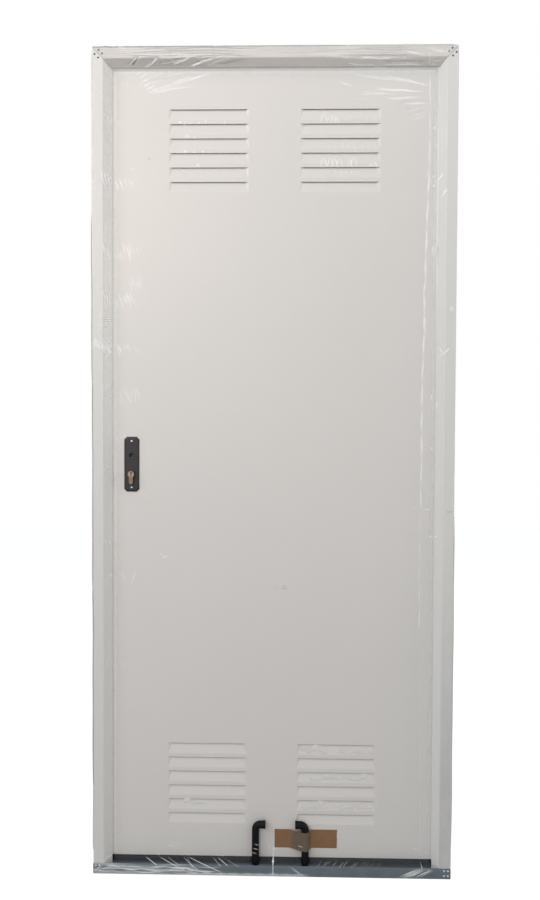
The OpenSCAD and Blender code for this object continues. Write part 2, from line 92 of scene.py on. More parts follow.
def add_lamp(name, place, aim, size, power, colour):
    lamp_data = bpy.data.lights.new(name, "AREA")
    lamp_data.shape = "RECTANGLE"
    lamp_data.size = size[0]
    lamp_data.size_y = size[1]
    lamp_data.energy = power
    lamp_data.color = colour
    lamp = bpy.data.objects.new(name, lamp_data)
    bpy.context.scene.collection.objects.link(lamp)
    lamp.location = place
    lamp.rotation_euler = (Vector(aim) - Vector(place)).to_track_quat("-Z", "Y").to_euler()


def set_inputs(tree, node, inputs):
    """Sets a node's inputs, by name or number, each to a value or to a link from an output."""
    for key, value in inputs.items():
        if isinstance(value, bpy.types.NodeSocket):
            tree.links.new(value, node.inputs[key])
        else:
            node.inputs[key].default_value = value


def add_node(tree, kind, inputs=None, **settings):
    """Adds a shader node of a kind, with its settings and inputs."""
    node = tree.nodes.new("ShaderNode" + kind)
    for name, value in settings.items():
        setattr(node, name, value)
    set_inputs(tree, node, inputs or {})
    return node


def math_node(tree, operation, first, second):
    return add_node(tree, "Math", {0: first, 1: second}, operation=operation).outputs[0]


def start_material(name):
    material = bpy.data.materials.new(name)
    material.use_nodes = True
    return material, material.node_tree, material.node_tree.nodes["Principled BSDF"]


def add_world():
    """Even light all round, which the camera, metal and film see as a white room."""
    world = bpy.data.worlds.new("studio")
    bpy.context.scene.world = world
    world.use_nodes = True
    tree = world.node_tree
    tree.nodes.clear()
    path = add_node(tree, "LightPath").outputs
    seen = path["Is Camera Ray"]
    for kind in ("Is Glossy Ray", "Is Transmission Ray"):
        seen = math_node(tree, "MAXIMUM", seen, path[kind])
    lit = add_node(tree, "Background", {"Color": ROOM_COLOUR, "Strength": ROOM_LIGHT})
    white = add_node(tree, "Background", {"Color": WHITE, "Strength": 1.0})
    mix = add_node(tree, "MixShader", {0: seen, 1: lit.outputs[0], 2: white.outputs[0]})
    add_node(tree, "OutputWorld", {"Surface": mix.outputs[0]})


def add_floor():
    """A pale floor that the camera sees as white, except in the object's shadow."""
    bpy.ops.mesh.primitive_plane_add(size=FLOOR_SIZE, location=(0, 0, FLOOR_Z))
    floor = bpy.context.object
    floor.name = "floor"
    material, tree, shader = start_material("floor_white")
    seen = add_node(tree, "LightPath").outputs["Is Camera Ray"]
    set_inputs(tree, shader, {
        "Base Color": FLOOR_COLOUR, "Roughness": 0.9, "Emission Color": WHITE,
        "Emission Strength": math_node(tree, "MULTIPLY", seen, FLOOR_GLOW)})
    floor.data.materials.append(material)


# Finishes

NOISE_LOW = 0.3
NOISE_HIGH = 0.7
BUMP_DEPTH = 0.0003


def object_coordinates(tree):
    return add_node(tree, "TexCoord").outputs["Object"]


def noise(tree, vector, scale, detail):
    return add_node(tree, "TexNoise", {"Vector": vector, "Scale": scale, "Detail": detail}).outputs["Fac"]


def map_range(tree, value, start, end, low=0.0, high=1.0):
    """A value that runs from start to end, made to run from low to high."""
    return add_node(tree, "MapRange", {"Value": value, "From Min": start, "From Max": end,
                                       "To Min": low, "To Max": high}).outputs["Result"]


def tint(tree, colour, tone):
    """A colour, darker or lighter by a value."""
    return add_node(tree, "VectorMath", {0: colour, "Scale": tone}, operation="SCALE").outputs[0]


def mix_colours(tree, share, first, second):
    return add_node(tree, "Mix", {"Factor": share, 6: first, 7: second}, data_type="RGBA").outputs[2]


def start_group(name, ways_in, ways_out):
    """A node group with its input and output sockets."""
    group = bpy.data.node_groups.new(name, "ShaderNodeTree")
    for way, kind, value in ways_in:
        made = group.interface.new_socket(name=way, in_out="INPUT", socket_type="NodeSocket" + kind)
        made.default_value = value
    for way, kind in ways_out:
        group.interface.new_socket(name=way, in_out="OUTPUT", socket_type="NodeSocket" + kind)
    return group, group.nodes.new("NodeGroupInput").outputs, group.nodes.new("NodeGroupOutput")


def make_coat_group():
    """A sprayed or moulded finish: slow changes of tone, a fine orange peel and uneven gloss."""
    group, given, out = start_group(
        "coat_finish",
        (("Color", "Color", (0.8, 0.8, 0.8, 1)), ("Cloud Scale", "Float", 3.0),
         ("Cloud Depth", "Float", 0.03), ("Peel Scale", "Float", 700.0), ("Gloss", "Float", 0.4),
         ("Gloss Change", "Float", 0.08)),
        (("Color", "Color"), ("Roughness", "Float"), ("Height", "Float")))
    place = object_coordinates(group)
    cloud = math_node(group, "SUBTRACT", noise(group, place, given["Cloud Scale"], 3.0), 0.5)
    change = math_node(group, "MULTIPLY", cloud, given["Cloud Depth"])
    smear = math_node(group, "SUBTRACT", noise(group, place, 9.0, 4.0), 0.5)
    gloss_change = math_node(group, "MULTIPLY", smear, given["Gloss Change"])
    set_inputs(group, out, {
        "Color": tint(group, given["Color"], math_node(group, "ADD", change, 1.0)),
        "Roughness": math_node(group, "ADD", gloss_change, given["Gloss"]),
        "Height": noise(group, place, given["Peel Scale"], 1.0)})
    return group


def coat_material(name, colour, gloss, cloud=(3.0, 0.04), peel=(700.0, 0.15), metallic=0.0, shine=0.5):
    """A finish from its colour and gloss, the size and depth of its clouds and of its orange peel."""
    material, tree, shader = start_material(name)
    coat = add_node(tree, "Group", {
        "Color": (*colour, 1), "Cloud Scale": cloud[0], "Cloud Depth": cloud[1], "Peel Scale": peel[0],
        "Gloss": gloss}, node_tree=COAT).outputs
    bump = add_node(tree, "Bump", {"Strength": peel[1], "Distance": BUMP_DEPTH, "Height": coat["Height"]})
    set_inputs(tree, shader, {
        "Base Color": coat["Color"], "Roughness": coat["Roughness"], "Normal": bump.outputs["Normal"],
        "Metallic": metallic, "Specular IOR Level": shine})
    return material


def make_film_group():
    """How milky and how grey clear film is where it is folded, with a cloudy unevenness. Its milky
    white is partly painted glints, sheen and light, and its grey partly painted shade. The colour
    runs from what is under the film to the film's own, and the film covers more the milkier it is."""
    group, given, out = start_group(
        "film_finish",
        (("Color", "Color", WHITE), ("Under", "Color", WHITE), ("Cover", "Float", 1.0),
         ("Own Colour", "Float", 1.0), ("Milk And Painted Light", "Float", 0.0), ("Shade", "Float", 0.0)),
        (("Color", "Color"), ("Alpha", "Float"), ("Roughness", "Float")))
    place = object_coordinates(group)
    cloudy = map_range(group, noise(group, place, 20.0, 1.0), NOISE_LOW, NOISE_HIGH, 0.88, 1.12)
    milky = math_node(group, "MULTIPLY", cloudy, given["Milk And Painted Light"])
    covered = math_node(group, "MULTIPLY", milky, given["Cover"])
    dark = math_node(group, "MULTIPLY", given["Shade"], -0.9)
    own = tint(group, given["Color"], math_node(group, "ADD", dark, 1.0))
    share = math_node(group, "MAXIMUM", milky, given["Own Colour"])
    set_inputs(group, out, {
        "Color": mix_colours(group, share, given["Under"], own),
        "Alpha": math_node(group, "MINIMUM", covered, 1.0),
        "Roughness": map_range(group, noise(group, place, 80.0, 2.0), NOISE_LOW, NOISE_HIGH, 0.2, 0.42)})
    return group


def film_material(name, paint=None, shine=0.5):
    """Clear film, or film on paint, which is opaque and shows the paint's colour where it isn't milky."""
    material, tree, shader = start_material(name)
    milk_and_painted_light, shade = (add_node(tree, "Attribute", attribute_name=kind).outputs["Fac"]
                   for kind in ("milk_and_painted_light", "shade"))
    film = add_node(tree, "Group", {
        "Color": (*FILM_COLOUR, 1), "Under": (*(paint or FILM_COLOUR), 1),
        "Cover": FULL_COVER if paint else 1.0, "Own Colour": 0.0 if paint else 1.0,
        "Milk And Painted Light": milk_and_painted_light, "Shade": shade}, node_tree=FILM).outputs
    set_inputs(tree, shader, {"Base Color": film["Color"], "Alpha": film["Alpha"],
                              "Roughness": film["Roughness"], "Specular IOR Level": shine})
    return material


def recolour(material, share, colour):
    """Turns a coat_material finish to another colour by a 0 to 1 share."""
    tree = material.node_tree
    coat = next(node for node in tree.nodes if node.type == "GROUP").inputs["Color"]
    tree.links.new(mix_colours(tree, share, coat.default_value, (*colour, 1)), coat)


def recolour_where(material, attribute, colour):
    """Another colour where a mesh's attribute says."""
    stored = add_node(material.node_tree, "Attribute", attribute_name=attribute)
    recolour(material, stored.outputs["Fac"], colour)


def recolour_round(material, x, z, radius, colour):
    """Another colour in a soft round patch about one place on the door's front or back, in mm."""
    tree = material.node_tree
    flat = add_node(tree, "VectorMath", {0: object_coordinates(tree), 1: (1, 0, 1)}, operation="MULTIPLY")
    away = add_node(tree, "VectorMath", {0: flat.outputs[0], 1: (x * MM, 0, z * MM)}, operation="DISTANCE")
    share = map_range(tree, away.outputs["Value"], radius * MM, 0.7 * radius * MM)
    recolour(material, share, colour)


def recolour_behind(material, y, colour):
    """Another colour for all that lies further back than a depth in mm."""
    tree = material.node_tree
    parts = add_node(tree, "SeparateXYZ", {0: object_coordinates(tree)})
    recolour(material, map_range(tree, parts.outputs["Y"], y * MM, (y + 1) * MM), colour)


COAT = make_coat_group()
FILM = make_film_group()

# name: how its CAD nodes' names start, colour, gloss, size and depth of the clouds and of the
# orange peel, metallic, shine
COATS = {
    "frame_paint": (("jamb", "hinge_frame"), (0.745, 0.728, 0.706), 0.42),
    # The header has the frame's paint made darker and warmer: painted shade on the header.
    "header_paint_shaded": (("header",), (0.715, 0.665, 0.628), 0.42),
    "leaf_paint": (("leaf", "lock_stile", "hinge_stile", "top_rail", "bottom_rail", "hinge_leaf"),
                   (0.762, 0.726, 0.70), 0.40),
    "galvanised": (("sill_channel",), (0.142, 0.185, 0.222), 0.45, (30, 0.5), (260, 0.2), 0.5),
    # The corner cleats are near black: painted shade seen through the open mitres.
    "cleat_painted_shade": (("corner_cleat",), (0.05, 0.05, 0.05), 0.6, (30, 0.2), (600, 0.2), 0.3),
    "zinc_plate": (("strike_box",), (0.45, 0.46, 0.47), 0.35, (20, 0.2), (500, 0.1), 0.9),
    "dark_rivet": (("corner_rivets",), (0.10, 0.10, 0.105), 0.5, (90, 0.4), (900, 0.2), 0.4),
    "bright_rivet": (("sill_rivets",), (0.62, 0.64, 0.66), 0.35, (90, 0.3), (900, 0.2), 0.8),
    "black_plate": (("lock_plate",), (0.031, 0.028, 0.029), 0.42, (40, 0.3), (1300, 0.25), 0.0, 0.35),
    "black_nylon": (("lever_handle",), (0.008, 0.0085, 0.0105), 0.45, (40, 0.3), (1500, 0.25), 0.0, 0.1),
    "grey_nylon": (("spindle_bush",), (0.042, 0.040, 0.042), 0.5, (40, 0.3), (1300, 0.25), 0.0, 0.35),
    "cylinder_brass": (("cylinder_body",), (0.19, 0.137, 0.098), 0.33, (60, 0.3), (900, 0.2), 0.9),
    "plug_brass": (("cylinder_plug",), (0.29, 0.203, 0.15), 0.30, (60, 0.3), (900, 0.2), 0.9),
    "screw_steel": (("plate_screws",), (0.56, 0.57, 0.60), 0.25, (90, 0.1), (900, 0.1), 0.6),
    "lock_steel": (("lock_case", "lock_forend", "latch_bolt", "dead_bolt"),
                   (0.5, 0.5, 0.49), 0.35, (30, 0.2), (600, 0.1), 0.9),
    # The spindle follower is pale grey: painted light in the deep spindle hole.
    "dark_steel": (("spindle_follower",), (0.62, 0.60, 0.60), 0.5, (30, 0.2), (600, 0.2)),
    "brown_tape": (("tape_strip",), (0.275, 0.148, 0.073), 0.35, (60, 0.2), (500, 0.1)),
}
FINISH = {name: coat_material(name, *numbers) for name, (starts, *numbers) in COATS.items()}
CHANNEL_FACE_Y = -33.0
KEYHOLE_X = -352.6
KEYHOLE_Z = 1002.6
KEYHOLE_R = 2.5
# The galvanised steel is darker inside the sill channel: painted shade in the channel.
recolour_behind(FINISH["galvanised"], CHANNEL_FACE_Y, (0.082, 0.106, 0.13))
recolour_where(FINISH["brown_tape"], "lifted", (0.16, 0.115, 0.075))
# A dark round patch on the plug: painted shade of the keyhole.
recolour_round(FINISH["plug_brass"], KEYHOLE_X, KEYHOLE_Z, KEYHOLE_R, (0.03, 0.025, 0.02))

FILM_COLOUR = (0.985, 0.985, 0.985)
# Film on paint is this many times as opaque as it is milky. At HALF_COVER it is about half opaque.
FULL_COVER = 1000.0
HALF_COVER = 0.45 / FULL_COVER
clear_film = film_material("clear_film")
# Film over the sill's gap, with little shine: its white is a painted sheen.
film_in_gap = film_material("film_in_gap", shine=0.05)
film_on_leaf = film_material("film_on_leaf", (0.768, 0.733, 0.708))
film_on_jamb = film_material("film_on_jamb", (0.763, 0.746, 0.722))
# Under it is the header's darker, warmer paint tone, the same painted shade.
film_on_header = film_material("film_on_header", (0.715, 0.677, 0.648))


def finish_cad_nodes():
    for node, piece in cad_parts.items():
        for finish, (starts, *_) in COATS.items():
            if node.startswith(starts):
                for material_slot in piece.material_slots:
                    material_slot.material = FINISH[finish]


# Clear film: where it lies

HEADER_LOW, HEADER_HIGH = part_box("header")
HALF_W = HEADER_HIGH.x / MM
FRAME_TOP = HEADER_HIGH.z / MM
FACE_Y = HEADER_LOW.y / MM
LEAF_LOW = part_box("leaf_front_skin")[0]
LEAF_Y = LEAF_LOW.y / MM
LEAF_Z = LEAF_LOW.z / MM
SILL_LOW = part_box("sill_channel")[0]
FLANGE_Y = SILL_LOW.y / MM
FLANGE_Z = 26.0
FACE_W = 26.5
SPLAY_W = 17.0
SPLAY_D = 19.5
OPENING = FACE_W + SPLAY_W
FILM_OFF = 0.4
SIDE_FILM = 18.0
CREASE_UP = 0.03
PLEAT_TOP = 0.35
CREASE_SPREAD = 1.25
FADE_POWER = 0.7
WOBBLE = 0.5
WOBBLE_RUN = 9.0
STROKE_STEP = 4.0
STEP_MM = 3.0
GAP_SEEN = 19.0
STREAK_W = 2.7
STREAK_TOP = 2037.5
STREAK_BAND = 23.0
GOLDEN = 0.382
LEVER_FRONT = 20.5


def ramp(value, start, end):
    """How far a value has gone from start to end, from 0 to 1."""
    return max(0.0, min(1.0, (value - start) / (end - start)))


def inset(x, z):
    """How far in from the frame's outer edge a place on the door's front is, in mm."""
    return min(HALF_W - abs(x), FRAME_TOP - z)


def surface_at(x, z):
    """Which set of creases a place on the door's front belongs to."""
    if inset(x, z) > OPENING and z > LEAF_Z:
        return "leaf"
    if z < LEAF_Z:
        return "sill"
    return "header" if FRAME_TOP - z < HALF_W - abs(x) else "frame"


def front_y(x, z):
    """Where the door's own surface is, front to back, at a place on its front, in mm."""
    if z < FLANGE_Z:
        return FLANGE_Y
    if z < LEAF_Z and inset(x, z) > OPENING:
        share = (z - FLANGE_Z) / (LEAF_Z - FLANGE_Z)
        return FLANGE_Y + share * (LEAF_Y - FLANGE_Y)
    along = inset(x, z) - FACE_W
    if along <= 0:
        return FACE_Y
    if along < SPLAY_W:
        return FACE_Y + along * SPLAY_D / SPLAY_W
    return LEAF_Y


class Film:
    """One sheet of film, or the creases on it: points in mm, with how milky and grey each one is. The
    milky white is partly painted glints and light, the grey partly painted shade.
    """

    def __init__(self, name, body, material=clear_film):
        self.name = name
        self.body = body
        self.material = material
        self.points = []
        self.milk_and_painted_light = []
        self.shade = []
        self.faces = []

    def add(self, point, milk_and_painted_light, shade=0.0):
        self.points.append([part * MM for part in point])
        self.milk_and_painted_light.append(milk_and_painted_light)
        self.shade.append(shade)
        return len(self.points) - 1

    def grid(self, rows):
        """Joins rows of (point, milk, shade), leaving out a cell where any corner is None."""
        places = [[None if spot is None else self.add(*spot) for spot in row] for row in rows]
        for near, far in zip(places, places[1:]):
            for a, b, c, d in zip(near, near[1:], far[1:], far):
                if None not in (a, b, c, d):
                    self.faces.append((a, b, c, d))

    def build(self):
        mesh = bpy.data.meshes.new(self.name)
        mesh.from_pydata(self.points, [], self.faces)
        for kind, values in (("milk_and_painted_light", self.milk_and_painted_light), ("shade", self.shade)):
            mesh.attributes.new(kind, "FLOAT", "POINT").data.foreach_set("value", values)
        mesh.shade_smooth()
        mesh.materials.append(self.material)
        made = bpy.data.objects.new(self.name, mesh)
        bpy.context.scene.collection.objects.link(made)
        made.visible_shadow = False
        made.visible_diffuse = False
        made.visible_glossy = False
        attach(made, self.body)
        return made


CREASES = {"leaf": Film("film_leaf_creases", "leaf", film_on_leaf),
           "frame": Film("film_jamb_creases", "frame", film_on_jamb),
           "header": Film("film_header_creases", "frame", film_on_header),
           "sill": Film("film_sill_creases", "frame"),
           "levers": Film("film_lever_creases", "leaf")}
vary = random.Random(7).uniform


def ridge(film, path, width, milk_and_painted_light, shade=0.0, flare=1.0, lie=None, hold=1.0):
    """A fold of film along a path of [x, y, z] points in mm: a low pleat, clear along its sides and
    milky over its flat top, where it is partly a painted glint, that fades out at both ends. It starts
    flare times as wide and faint as it ends. Its sides lie where lie(x, z) says, or else at the depth
    of its path. The more it holds, the nearer to its ends it keeps its full strength."""
    rows = []
    for i, point in enumerate(path):
        ahead = path[min(i + 1, len(path) - 1)]
        behind = path[max(i - 1, 0)]
        run = Vector((ahead[0] - behind[0], 0, ahead[2] - behind[2])).normalized()
        fade = min(1.0, hold * math.sin(math.pi * (i + 0.5) / len(path))) ** FADE_POWER
        wide = flare + (1 - flare) * i / (len(path) - 1)
        side = Vector((run.z, 0, -run.x)) * fade * wide * width * CREASE_SPREAD / 2
        crest = Vector((0, CREASE_UP * wide * width * fade, 0))
        row = []
        for across, up, top_share in ((-1, 0, 0), (-PLEAT_TOP, 1, 1), (PLEAT_TOP, 1, 1), (1, 0, 0)):
            spot = Vector(point) + side * across
            if lie and abs(lie(spot.x, spot.z) - spot.y) < STEP_MM:
                spot.y = lie(spot.x, spot.z)
            spot.y -= FILM_OFF
            row.append((spot - crest * up, top_share * milk_and_painted_light * fade / wide, shade))
        rows.append(row)
    film.grid(rows)


def stroke(x, z, run_x, run_z, bow, width, milk_and_painted_light, flare=1.0, shade=0.0, hold=1.0, lift=0.0):
    """A crease over the door's front, which goes on from x, z by run_x, run_z, in mm. It is parted
    where it passes from one set of creases to the next. Bow is how far its middle lies to one side,
    and lift how far it stands off the door."""
    length = math.hypot(run_x, run_z)
    steps = max(8, int(length / STROKE_STEP))
    phase = vary(0, 6.3)
    runs = []
    for i in range(steps + 1):
        share = i / steps
        off = bow * math.sin(math.pi * share) + WOBBLE * math.sin(phase + length * share / WOBBLE_RUN)
        at_x = x + run_x * share - off * run_z / length
        at_z = z + run_z * share + off * run_x / length
        surface = "levers" if lift else surface_at(at_x, at_z)
        if not runs or runs[-1][0] != surface:
            runs.append((surface, []))
        runs[-1][1].append((at_x, front_y(at_x, at_z) - lift, at_z))
    for surface, path in runs:
        if len(path) > 2:
            ridge(CREASES[surface], path, width, milk_and_painted_light, shade, flare, lambda x, z: front_y(x, z) - lift, hold)


def strokes(rows, bow=2.0):
    """Creases from rows of x, z, run_x, run_z, width, milk and, where they matter, flare and shade."""
    for x, z, run_x, run_z, *look in rows:
        stroke(x, z, run_x, run_z, vary(-bow, bow), *look)


def pucker(x, z, width, height, count, lean, milk_and_painted_light):
    """A patch of upright creases, where the film was pulled in."""
    for i in range(count):
        at_x = x + width * ((i + 0.5) / count - 0.5) + vary(-2, 2)
        tall = height * vary(0.5, 1.0)
        at_z = z + vary(-0.2, 0.2) * height
        run_x = tall * (lean + vary(-0.15, 0.15))
        stroke(at_x - run_x / 2, at_z - tall / 2, run_x, tall, vary(-2.5, 2.5), vary(2.2, 3.6),
               milk_and_painted_light * vary(0.4, 1.0))


def arrowheads(x, z, count, spacing, size):
    """Pairs of short creases that meet at the top, in a row."""
    for i in range(count):
        at_x = x + spacing * (i - (count - 1) / 2) + vary(-3, 3)
        tall = size * vary(0.4, 1.1)
        for side in (-1, 1):
            stroke(at_x + side * tall * 0.35, z, side * (1.2 - tall * 0.35), tall, 0.0, 3, vary(0.6, 1.0))


def sill_streak(leaf_x, flange_x, flange_z, milk_and_painted_light):
    """A crease from the leaf's bottom edge, across the gap and down the sill's front flange: a milky
    streak over the dark steel, partly a painted highlight.
    """
    top = Vector((leaf_x, LEAF_Y - 6.0, LEAF_Z - 1.0))
    in_gap = (flange_x - leaf_x) * GAP_SEEN / (GAP_SEEN + FLANGE_Z - flange_z)
    edge = Vector((leaf_x + in_gap, FLANGE_Y - 0.5, FLANGE_Z + 0.5))
    foot = Vector((flange_x, FLANGE_Y, flange_z))
    path = [top.lerp(edge, i / 5) for i in range(5)] + [edge.lerp(foot, i / 5) for i in range(6)]
    ridge(CREASES["sill"], path, STREAK_W, milk_and_painted_light, hold=1.8)
    stroke(leaf_x - 0.3 * in_gap, LEAF_Z + 4, 0.3 * in_gap, -3.7, 0.0, STREAK_W, milk_and_painted_light * 0.6)


# Clear film: the creases, partly painted glints and painted shade

def crease_top_edge():
    """A dark grey film line along the frame's top, and painted shade in the open mitres."""
    line = []
    for i in range(56):
        x = -444 + 16.1 * i
        ragged = vary(-0.9, 1.4) if x < -385 else vary(-0.15, 0.15)
        line.append(Vector((x, FACE_Y, FRAME_TOP + 0.3 + ragged)))
    for first, last, milk_and_painted_light, shade in ((0, 5, 0.9, 0.8), (4, 20, 0.95, 0.72), (18, 40, 0.9, 0.66),
                                     (38, 56, 0.6, 0.6)):
        ridge(CREASES["header"], line[first:last], 3.2, milk_and_painted_light, shade, hold=4.0)
    for side in (-1, 1):
        stroke(side * 442, 2037, side * -39, -39, 0.0, 1.2, 0.7, shade=1.0, hold=4.0)


def crease_outer_edge():
    """A grey film line down the outer edges of the jambs."""
    for top, low, edge_x, milk_and_painted_light, shade in (
            (2034, 1600, -444.6, 0.6, 0.35), (1640, 1230, -446.0, 0.9, 0.72), (1260, 700, -444.3, 0.9, 0.75),
            (740, 200, -444.1, 0.9, 0.8), (230, 60, -444.0, 0.6, 0.5), (900, 60, 444.4, 0.7, 0.6)):
        line = []
        for i in range(29):
            z = top + (low - top) * i / 28
            x = edge_x - 0.5 * math.sin(z / 43) * math.sin(z / 140)
            line.append(Vector((x, FACE_Y - 0.8, z)))
        ridge(CREASES["frame"], line, 2.8, milk_and_painted_light, shade, hold=4.0)


def header_streaks(low_x, high_x, count, milk_and_painted_light):
    """Long wavy creases that run along the header's face, pale and grey by turns: partly painted glints
    and painted shade of the folds.
    """
    for i in range(count):
        start = low_x + vary(0, 0.5) * (high_x - low_x)
        length = vary(0.35, 0.6) * (high_x - low_x)
        z = STREAK_TOP - STREAK_BAND * ((i * GOLDEN + 0.1) % 1.0)
        phase = vary(0, 6.3)
        path = []
        for j in range(41):
            x = start + length * j / 40
            wave = 1.2 * math.sin(x / 48 + phase) + 0.6 * math.sin(x / 17 + 2 * phase)
            sunk = z + wave - 0.008 * (x - start)
            path.append(Vector((x, FACE_Y, min(STREAK_TOP + 0.7, max(STREAK_TOP - STREAK_BAND, sunk)))))
        shade = 0.1 + 0.7 * (i % 2)
        ridge(CREASES["header"], path, vary(1.6, 3.2), milk_and_painted_light * vary(0.5, 1.0), shade, hold=1.6)


def crease_top_left():
    strokes([
        (-364, 2000, 42, 25, 3.5, 0.9), (-357, 1997, 40, 22, 3.5, 0.8),
        (-362, 2003, 38, 18, 8, 0.8, 1, 0.7), (-352, 2001, 22, 14, 5, 0.9, 1, 0.9),
        (-310, 2001, 41, 20, 3, 0.9, 2.5), (-318, 2000, 40, 18, 9, 0.8, 1, 0.7),
        (-262, 2001, 82, 22, 3.5, 0.9, 1.6), (-290, 2003, 75, 11, 6, 0.8, 1, 0.85),
        (-226, 1996, 107, 22, 4, 0.9, 1.6), (-205, 2004, 75, 15, 5, 0.7, 1, 0.8),
        (-180, 1999, 95, 23, 3, 0.6), (-160, 2004, 100, 8, 4, 0.5, 1, 0.8), (-300, 2009, 85, 13, 4, 0.5),
        (-250, 1999, 100, 4, 3, 0.6, 1, 0.9), (-330, 2012, 80, 7, 3, 0.6, 1, 0.9),
        (-240, 2011, 110, 12, 3, 0.7, 1, 0.9)])
    strokes([
        (-330, 1957, 106, 36, 3.5, 0.95), (-335, 1961, 30, 13, 3, 0.9),
        (-300, 1950, 150, 40, 5, 0.95, 0.6), (-262, 1961, 65, 21, 12, 0.4),
        (-313, 1936, 123, 21, 4, 0.6, 0.6), (-318, 1944, 88, 16, 6, 0.35), (-233, 1971, 86, 22, 4, 0.5),
        (-322, 1976, 60, 16, 4, 0.45), (-306, 1970, 66, 21, 7, 0.25),
        (-335, 1966, 95, 18, 8, 0.15, 1, 0.5)], 4)
    for i in range(6):
        x = -343 + 6.4 * i + vary(-0.7, 0.7)
        z = 1984 - 9 * i + vary(-0.7, 0.7)
        reach = vary(0.8, 1.2)
        stroke(x, z, 20 * reach, 12 * reach, vary(-1.5, 1.5), 4.0, vary(0.8, 1.0))
    header_streaks(-415, -40, 20, 0.8)
    pucker(-404, 1986, 20, 26, 5, 0.1, 0.5)
    pucker(-372, 1966, 18, 20, 4, 0.1, 0.25)


def crease_top_right():
    strokes([
        (262, 1979, 116, -24, 5.5, 1.0, 2.2), (325, 1967, 54, -12.5, 4.5, 1.0),
        (190, 1985, 140, -17, 7, 0.5), (300, 1975, 78, -25, 4, 0.22, 1.0, 0.4),
        (240, 1952, 105, -7, 4, 0.9), (240, 1946, 134, -6, 5, 1.0), (206, 1942, 94, -6, 8, 0.4),
        (153, 1971, 39, -15, 4, 0.5), (262, 1925, 106, 4, 6, 0.7), (290, 1917, 60, 3, 7, 0.16, 1, 0.4),
        (312, 1911, 67, 0, 4.5, 1.0, 1.6), (300, 1900, 78, 8, 7, 0.18, 1, 0.4),
        (325, 1893, 51, 12, 4, 0.5), (330, 1880, 47, 17, 4, 0.4), (195, 1937, 51, -6, 3.5, 0.35),
        (335, 1872, 41, 16, 5, 0.3), (195, 1925, 35, -6, 3, 0.3)], 3)
    strokes([
        (305, 2030, 61, -13, 4, 0.9, 1.8), (122, 2018, 90, -8, 4, 0.5), (120, 2013, 252, -2, 4.5, 1.0),
        (245, 2000, 127, 1, 4, 0.9), (140, 2018, 234, -1, 6, 0.9, 1, 0.75),
        (262, 2006, 110, 0, 6, 0.9, 1, 0.7), (170, 2004, 120, -6, 4, 0.7),
        (130, 1997, 160, -0.4, 3, 0.6, 1, 0.9), (376, 2010, 19, 6, 3, 0.6), (376, 2004, 28, 3, 3, 0.6),
        (377, 2001, 21, -1, 3, 0.5), (374, 2023, 1, -22, 3.5, 0.8)], 2)
    for i in range(6):
        x = 366 + 9.5 * i
        z = 2038 - 1.2 * i
        stroke(x, z, 36 - 5 * i, i - 15, -2.0, 3.5, vary(0.6, 0.9))
        stroke(x + 5, z, 33 - 5 * i, i - 14, -2.0, 3, 0.35, shade=0.6)
    header_streaks(60, 360, 14, 0.6)
    header_streaks(-120, 160, 6, 0.25)


def crease_sides():
    for x, z, width, height, count, milk_and_painted_light in (
            (-397, 1868, 34, 30, 8, 0.7), (-400, 1725, 48, 44, 11, 1.0), (-358, 1724, 44, 26, 7, 0.5),
            (-388, 1550, 64, 44, 13, 0.9), (-345, 1556, 40, 24, 6, 0.5), (-344, 1476, 34, 36, 8, 0.5),
            (-380, 1432, 76, 44, 14, 0.75), (-412, 1316, 64, 42, 14, 0.95), (-360, 1312, 50, 26, 7, 0.45),
            (-376, 1196, 95, 44, 14, 0.55), (-386, 742, 44, 30, 6, 0.4), (-352, 1180, 18, 12, 2, 0.6),
            (-380, 1092, 26, 36, 4, 0.4), (-398, 830, 40, 26, 5, 0.25), (-392, 520, 46, 30, 5, 0.25)):
        pucker(x, z, width, height, count, -0.25, milk_and_painted_light)
    for i in range(7):
        stroke(-432, 1358 + 6 * i, 30, 4, 0.0, 2.5, 0.11)
    strokes([
        (-283, 800, 11, -5, 3, 0.6), (-277, 791, 16, 2, 3, 0.9), (-353, 728, 12, 30, 3, 0.7),
        (-356, 722, 5, 11, 2.5, 0.4), (21, 722, 16, -1, 2.8, 0.4, 1, 0.8),
        (20, 714, 18, 0, 3.4, 0.45, 1, 0.8), (3, 716, 15, 0, 2.6, 0.25, 1, 0.8),
        (-316, 1782, 12, -6, 4.5, 0.3, 1, 0.8), (-357, 1761, 12, -5, 5, 0.18, 1, 0.7)], 1)
    strokes([
        (389, 1849, 14, 19, 3.5, 1.0), (389, 1710, 22, 27, 3.5, 1.0), (394, 1716, 14, 16, 3, 0.9),
        (349, 919, 10, 0, 3, 0.8), (372, 916, 20, -1, 2.8, 0.8), (389, 841, 10, 15, 3, 0.7),
        (393, 838, 11, 13, 3, 0.5), (371, 1733, 10, 12, 3, 0.6), (386, 1730, 9, 10, 3, 0.5),
        (408, 1682, 12, 15, 3.5, 0.9), (409, 1690, 7, 8, 3, 0.5), (390, 1566, 4, -28, 9, 0.5),
        (397, 1572, 1, -27, 8, 0.6), (404, 1560, -2, -26, 7, 0.5), (404, 1290, 10, 12, 3.5, 0.3),
        (414, 1296, 17, 17, 3.5, 0.8), (405, 1318, 8, -22, 3.5, 0.5), (430, 1401, 4, 13, 3, 0.7),
        (436, 1400, 1, 12, 3, 0.5), (389, 1185, 6, 18, 3.5, 0.8), (391, 1201, 8, -16, 3.5, 0.6),
        (401, 1166, 3, 14, 3.5, 0.5), (394, 1060, 3, 18, 3.5, 0.5), (391, 1072, 2, -10, 3.5, 0.4),
        (398, 950, 2, 18, 3.5, 0.4), (422, 913, 22, 0, 2.8, 0.7, 1, 0.8)], 1)


